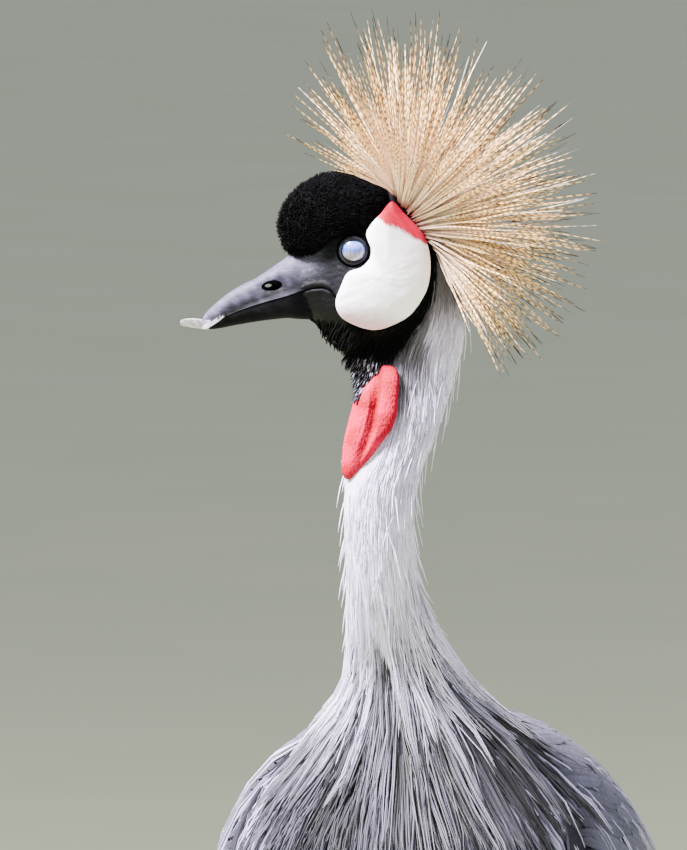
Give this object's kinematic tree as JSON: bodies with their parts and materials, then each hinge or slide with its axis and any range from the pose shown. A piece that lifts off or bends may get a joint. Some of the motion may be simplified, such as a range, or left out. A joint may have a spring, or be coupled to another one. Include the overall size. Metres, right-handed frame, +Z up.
{
  "type": "grey crowned crane, life-size still model",
  "caption": "Standing grey crowned crane with a black velvet cap, a straw bristle crest, white cheek patches, a red throat wattle and a long grey neck, head turned to its right.",
  "frame": {"origin": "middle of the whole bird's footprint, on the floor that its toes rest on", "axes": "+Z up from the floor to the crest; the body and toes face -Y; +X is the bird's left side"},
  "size_m": [0.223, 0.467, 0.9905],
  "materials": {
    "body_feathers": "soft slate-grey body feathers",
    "neck_feathers": "pale lavender-grey lanceolate neck feathers",
    "bare_skin": "dark wrinkled bare skin and short black down",
    "velvet_feathers": "dense matt black velvet feathers",
    "crest_bristles": "stiff straw-gold bristles with black tips",
    "cheek_skin": "smooth white bare skin, faintly pink below",
    "red_skin": "coral-red bare skin, finely pebbled",
    "eye": "wet eye behind a milky third eyelid",
    "bill_horn": "satin grey horn with pale chipped tips",
    "white_coverts": "white wing covert feathers",
    "gold_plumes": "long straw-gold covert plumes",
    "chestnut_feathers": "dark chestnut flight feathers",
    "black_feathers": "black flight and tail feathers",
    "leg_scales": "dark slate scaly leg skin with horn claws"
  },
  "bodies": {
    "root": {"torso": "body_feathers", "neck_lower": "neck_feathers", "neck_upper": "neck_feathers", "head": "bare_skin", "velvet_cap": "velvet_feathers", "crest": "crest_bristles", "cheek_left": "cheek_skin", "cheek_right": "cheek_skin", "cheek_red_left": "red_skin", "cheek_red_right": "red_skin", "wattle": "red_skin", "eye_left": "eye", "eye_right": "eye", "bill_upper": "bill_horn", "bill_lower": "bill_horn", "wing_left": "white_coverts", "wing_right": "white_coverts", "wing_gold_left": "gold_plumes", "wing_gold_right": "gold_plumes", "secondaries_left": "chestnut_feathers", "secondaries_right": "chestnut_feathers", "primaries_left": "black_feathers", "primaries_right": "black_feathers", "tail": "black_feathers", "thigh_left": "body_feathers", "thigh_right": "body_feathers", "shank_left": "leg_scales", "shank_right": "leg_scales", "foot_left": "leg_scales", "foot_right": "leg_scales"}
  },
  "joints": []
}
